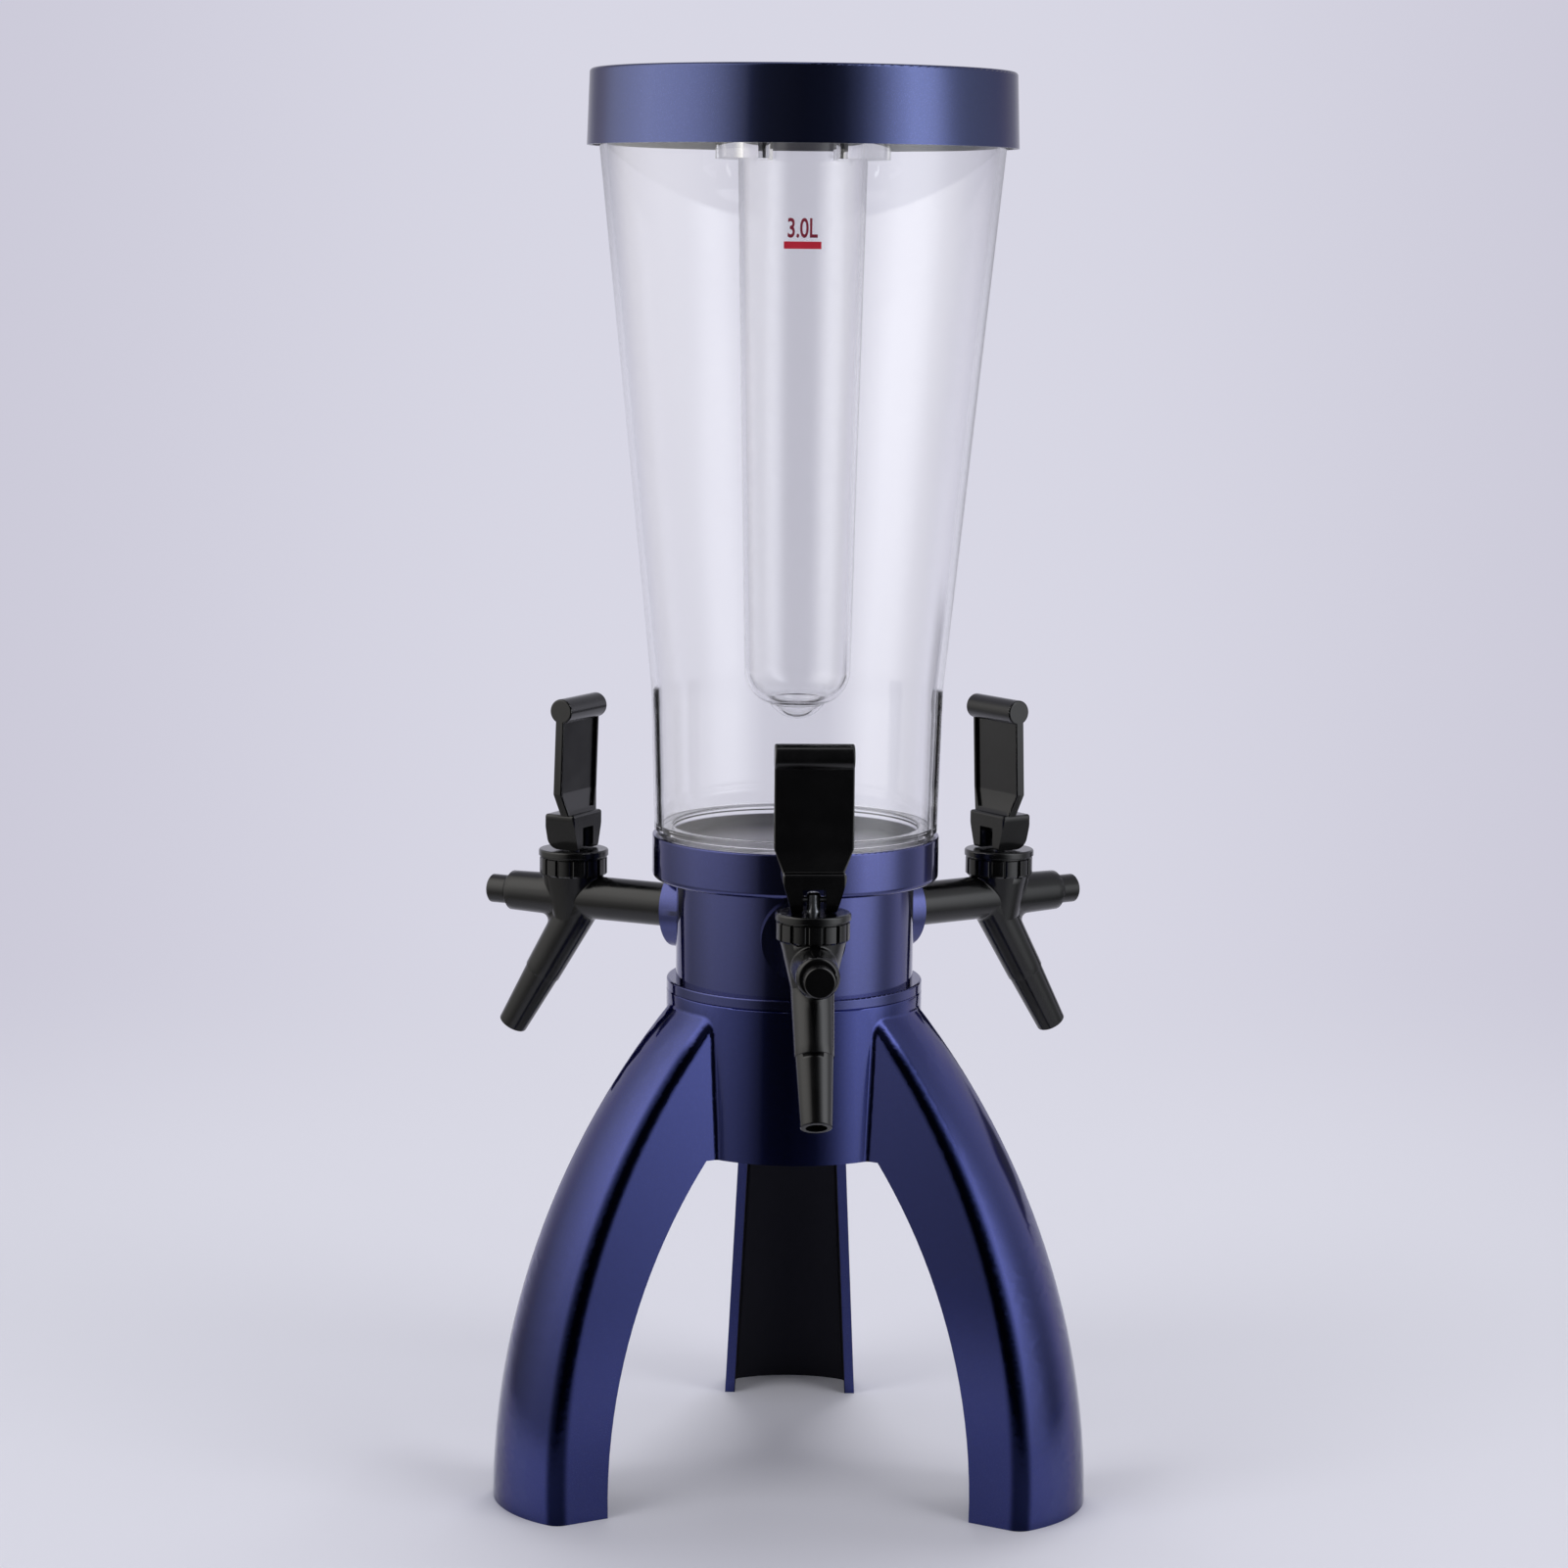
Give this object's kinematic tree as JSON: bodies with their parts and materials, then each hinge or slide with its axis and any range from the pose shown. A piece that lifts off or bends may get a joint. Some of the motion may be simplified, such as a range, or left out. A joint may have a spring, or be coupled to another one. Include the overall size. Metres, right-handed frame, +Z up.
{
  "type": "beer tower dispenser",
  "caption": "Table-top drinks tower: clear tapered tank with a lid and a hanging ice tube, on a metallic blue collar with black lever taps and a splayed-leg stand.",
  "frame": {"origin": "on the tower's upright axis, level with the undersides of the feet", "axes": "+Z up along the tank's axis; -Y is the front, where one tap stands between the two front legs; +X to the right seen from the front"},
  "size_m": [0.256, 0.2775, 0.5791],
  "materials": {
    "blue_shell": "gloss metallic blue",
    "black_plastic": "satin moulded",
    "white_plastic": "moulded",
    "clear_plastic": "clear gloss",
    "grey_rubber": "matte",
    "steel": "bright"
  },
  "bodies": {
    "stand": {"tripod_stand": "blue_shell", "tap_housing": "blue_shell", "clamp_washer": "grey_rubber", "clamp_knob": "black_plastic", "tank_gasket": "grey_rubber", "tap_1_body": "black_plastic", "tap_1_nozzle": "black_plastic", "tap_1_front_plug": "black_plastic", "tap_1_shank_washer": "grey_rubber", "tap_1_lock_nut": "white_plastic", "tap_1_bonnet_nut": "black_plastic", "tap_1_gland": "white_plastic", "tap_1_stem_ring": "grey_rubber", "tap_2_body": "black_plastic", "tap_2_nozzle": "black_plastic", "tap_2_front_plug": "black_plastic", "tap_2_shank_washer": "grey_rubber", "tap_2_lock_nut": "white_plastic", "tap_2_bonnet_nut": "black_plastic", "tap_2_gland": "white_plastic", "tap_2_stem_ring": "grey_rubber", "tap_3_body": "black_plastic", "tap_3_nozzle": "black_plastic", "tap_3_front_plug": "black_plastic", "tap_3_shank_washer": "grey_rubber", "tap_3_lock_nut": "white_plastic", "tap_3_bonnet_nut": "black_plastic", "tap_3_gland": "white_plastic", "tap_3_stem_ring": "grey_rubber"},
    "tank": {"tank": "clear_plastic"},
    "lid": {"lid": "blue_shell"},
    "ice_tube": {"ice_tube": "clear_plastic"},
    "tap_1_valve": {"tap_1_stem": "steel", "tap_1_seal": "grey_rubber", "tap_1_pivot_pin": "steel", "tap_1_spring": "steel"},
    "tap_1_handle": {"tap_1_lever": "black_plastic"},
    "tap_2_valve": {"tap_2_stem": "steel", "tap_2_seal": "grey_rubber", "tap_2_pivot_pin": "steel", "tap_2_spring": "steel"},
    "tap_2_handle": {"tap_2_lever": "black_plastic"},
    "tap_3_valve": {"tap_3_stem": "steel", "tap_3_seal": "grey_rubber", "tap_3_pivot_pin": "steel", "tap_3_spring": "steel"},
    "tap_3_handle": {"tap_3_lever": "black_plastic"}
  },
  "joints": [
    {"name": "tank_lift", "type": "slide", "parent": "stand", "child": "tank", "axis": [0, 0, 1], "range_m": [0, 0.06]},
    {"name": "lid_lift", "type": "slide", "parent": "tank", "child": "lid", "axis": [0, 0, 1], "range_m": [0, 0.27]},
    {"name": "ice_tube_twist", "type": "hinge", "parent": "lid", "child": "ice_tube", "pos_m": [0, 0, 0.56], "axis": [0, 0, 1], "range_deg": [0, 90]},
    {"name": "tap_1_stem_slide", "type": "slide", "parent": "stand", "child": "tap_1_valve", "axis": [0, 0, 1], "range_m": [0, 0.00184], "stiffness_N_per_m": 2000, "springref_m": -0.005, "deforming": ["tap_1_spring"]},
    {"name": "tap_1_lever_hinge", "type": "hinge", "parent": "tap_1_valve", "child": "tap_1_handle", "pos_m": [0.00714, -0.10476, 0.2594], "axis": [0.9977, 0.068, 0], "range_deg": [0, 45]},
    {"name": "tap_2_stem_slide", "type": "slide", "parent": "stand", "child": "tap_2_valve", "axis": [0, 0, 1], "range_m": [0, 0.00184], "stiffness_N_per_m": 2000, "springref_m": -0.005, "deforming": ["tap_2_spring"]},
    {"name": "tap_2_lever_hinge", "type": "hinge", "parent": "tap_2_valve", "child": "tap_2_handle", "pos_m": [0.08715, 0.05856, 0.2594], "axis": [-0.5577, 0.83, 0], "range_deg": [0, 45]},
    {"name": "tap_3_stem_slide", "type": "slide", "parent": "stand", "child": "tap_3_valve", "axis": [0, 0, 1], "range_m": [0, 0.00184], "stiffness_N_per_m": 2000, "springref_m": -0.005, "deforming": ["tap_3_spring"]},
    {"name": "tap_3_lever_hinge", "type": "hinge", "parent": "tap_3_valve", "child": "tap_3_handle", "pos_m": [-0.09429, 0.04619, 0.2594], "axis": [-0.4399, -0.898, 0], "range_deg": [0, 45]}
  ],
  "couplings": [
    {"joint": "tap_1_lever_hinge", "follows": "tap_1_stem_slide", "rad_per_m": 427.2},
    {"joint": "tap_2_lever_hinge", "follows": "tap_2_stem_slide", "rad_per_m": 427.2},
    {"joint": "tap_3_lever_hinge", "follows": "tap_3_stem_slide", "rad_per_m": 427.2}
  ]
}
